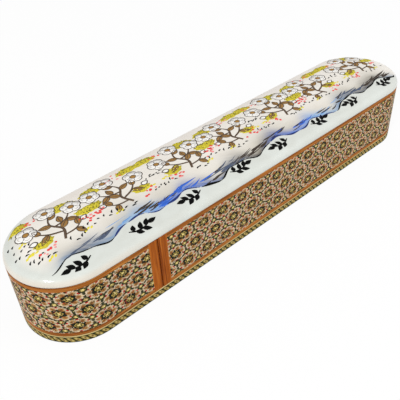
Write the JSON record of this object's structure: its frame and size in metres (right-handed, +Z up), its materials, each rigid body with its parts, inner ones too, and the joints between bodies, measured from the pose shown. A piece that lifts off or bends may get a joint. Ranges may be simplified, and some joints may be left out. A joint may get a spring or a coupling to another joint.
{
  "type": "pen box",
  "caption": "Long wooden pen box with rounded ends, khatam marquetry sides, a crowned painted top and a lengthwise drawer whose front is the rounded wall at one end.",
  "frame": {"origin": "middle of the underside, on the surface that the box stands on", "axes": "+X along the box towards its closed end, +Y towards the back, +Z up; the drawer opens towards -X"},
  "size_m": [0.246, 0.05, 0.04],
  "materials": {
    "core_wood": "plain sanded wood",
    "strip_wood": "reddish-brown wood under gloss varnish",
    "khatam": "khatam marquetry under gloss varnish",
    "border_marquetry": "slanted two-colour marquetry under gloss varnish",
    "pale_fillet": "pale yellow wood under gloss varnish",
    "painted_lacquer": "hand-painted cream ground under clear gloss lacquer",
    "tray_wood": "oiled pale wood",
    "felt": "dark red felt"
  },
  "bodies": {
    "case": {"base_board": "core_wood", "base_border": "border_marquetry", "base_line": "pale_fillet", "case_front_wall": "core_wood", "case_back_wall": "core_wood", "case_end_wall": "core_wood", "case_khatam": "khatam", "case_upper_strip": "strip_wood", "case_lower_strip": "strip_wood", "case_front_seam_strip": "strip_wood", "case_back_seam_strip": "strip_wood", "top_board": "core_wood", "painted_panel": "painted_lacquer"},
    "drawer": {"drawer_front_wall": "core_wood", "drawer_khatam": "khatam", "drawer_upper_strip": "strip_wood", "drawer_lower_strip": "strip_wood", "drawer_front_seam_strip": "strip_wood", "drawer_back_seam_strip": "strip_wood", "tray_floor": "tray_wood", "tray_front_side": "tray_wood", "tray_back_side": "tray_wood", "tray_nose": "tray_wood", "tray_tail": "tray_wood", "tray_lining": "felt"}
  },
  "joints": [
    {"name": "drawer_slide", "type": "slide", "parent": "case", "child": "drawer", "axis": [-1, 0, 0], "range_m": [0, 0.17]}
  ]
}
